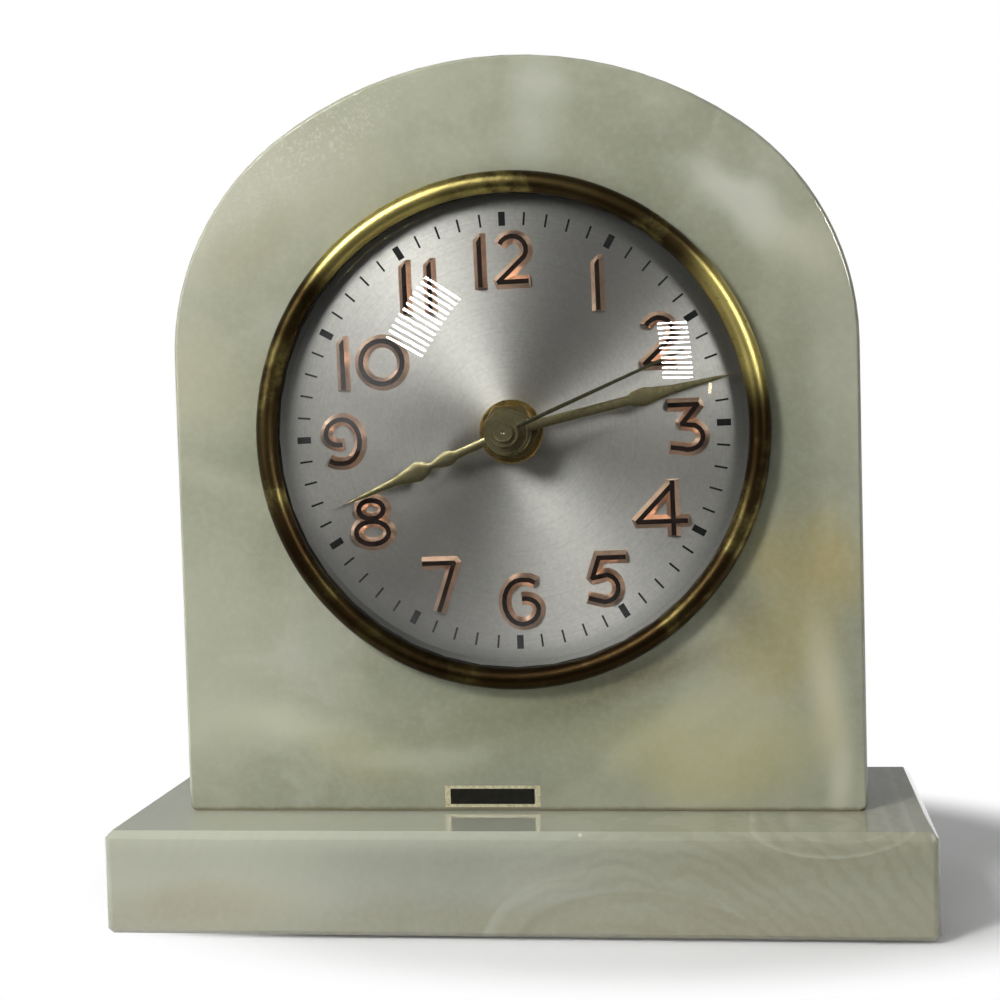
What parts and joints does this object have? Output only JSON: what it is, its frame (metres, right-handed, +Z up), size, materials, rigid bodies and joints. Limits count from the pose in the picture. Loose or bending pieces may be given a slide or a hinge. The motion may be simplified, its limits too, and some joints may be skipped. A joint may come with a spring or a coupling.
{
  "type": "onyx mantel clock",
  "caption": "Arched onyx mantel clock on a stone base, with a brass bezel, domed glass, silvered dial with raised numerals, spear hands and an electric movement.",
  "frame": {"origin": "middle of the felt underside, on the surface the clock stands on", "axes": "+X to the right as seen from the front, +Y from the dial to the back, +Z up; the dial faces -Y"},
  "size_m": [0.173, 0.0698, 0.1841],
  "materials": {
    "onyx": "polished, translucent grey-green onyx with cloudy bands",
    "felt": "green felt",
    "steel": "turned and plain rolled",
    "brass": "polished, aged and pitted in places",
    "gilt": "dull tarnished gilt",
    "silvered_dial": "spun silver with copper-edged raised numerals",
    "glass": "clear, domed",
    "label_foil": "black and gold foil, bare",
    "black_card": "matt",
    "black_phenolic": "moulded phenolic",
    "coil_wire": "enamelled copper wire, taped",
    "black_enamel": "satin black enamel",
    "black_rubber": "matt"
  },
  "bodies": {
    "case": {"onyx_base": "onyx", "onyx_body": "onyx", "base_felt": "felt", "stud_left": "steel", "stud_right": "steel", "stud_nut_left": "steel", "stud_nut_right": "steel", "stud_washer_left": "steel", "stud_washer_right": "steel", "dial_pan": "steel", "rotor_unit": "steel", "stator_core": "steel", "plate_screw_1": "steel", "plate_screw_2": "steel", "plate_screw_3": "steel", "plate_screw_4": "steel", "cover_post_1": "steel", "cover_post_2": "steel", "cover_screw_1": "steel", "cover_screw_2": "steel", "bezel": "brass", "centre_bushing": "brass", "dial_washer": "brass", "dial_nut": "brass", "front_plate": "brass", "back_plate": "brass", "plate_pillar_1": "brass", "plate_pillar_2": "brass", "plate_pillar_3": "brass", "plate_pillar_4": "brass", "dial": "silvered_dial", "dial_glass": "glass", "foil_label": "label_foil", "glass_spacer": "black_card", "coil_bobbin": "black_phenolic", "field_coil": "coil_wire", "rear_cover": "black_enamel", "cord_grommet": "black_rubber"},
    "minute": {"minute_hand": "gilt", "cannon_pinion": "brass", "clutch_spring": "steel"},
    "hour": {"hour_hand": "gilt", "hour_wheel": "brass"},
    "setting": {"set_arbor": "steel", "set_knob": "black_phenolic"},
    "second": {"second_hand": "gilt", "seconds_arbor": "steel"},
    "slow_train": {"intermediate_wheel": "brass"},
    "centre_train": {"centre_wheel": "brass"},
    "rotor": {"rotor_pinion": "steel"}
  },
  "joints": [
    {"name": "minute_hand_spin", "type": "hinge", "parent": "case", "child": "minute", "pos_m": [0, -0.02173, 0.1043], "axis": [0, 1, 0], "continuous": true},
    {"name": "hour_hand_spin", "type": "hinge", "parent": "case", "child": "hour", "pos_m": [0, -0.01872, 0.1043], "axis": [0, 1, 0], "continuous": true},
    {"name": "set_knob_spin", "type": "hinge", "parent": "case", "child": "setting", "pos_m": [0, 0.03087, 0.0913], "axis": [0, 1, 0], "continuous": true},
    {"name": "second_hand_spin", "type": "hinge", "parent": "case", "child": "second", "pos_m": [0, -0.02473, 0.1043], "axis": [0, 1, 0], "continuous": true},
    {"name": "intermediate_wheel_spin", "type": "hinge", "parent": "case", "child": "slow_train", "pos_m": [0.01, 0.00387, 0.11008], "axis": [0, 1, 0], "continuous": true},
    {"name": "centre_wheel_spin", "type": "hinge", "parent": "case", "child": "centre_train", "pos_m": [0, 0.00187, 0.1043], "axis": [0, 1, 0], "continuous": true},
    {"name": "rotor_pinion_spin", "type": "hinge", "parent": "case", "child": "rotor", "pos_m": [-0.00866, 0.00788, 0.1093], "axis": [0, 1, 0], "continuous": true}
  ],
  "couplings": [
    {"joint": "hour_hand_spin", "follows": "minute_hand_spin", "ratio": 0.083333},
    {"joint": "set_knob_spin", "follows": "minute_hand_spin", "ratio": -0.33333},
    {"joint": "intermediate_wheel_spin", "follows": "second_hand_spin", "ratio": -0.16667},
    {"joint": "centre_wheel_spin", "follows": "second_hand_spin", "ratio": 0.016667},
    {"joint": "rotor_pinion_spin", "follows": "second_hand_spin", "ratio": -4}
  ]
}
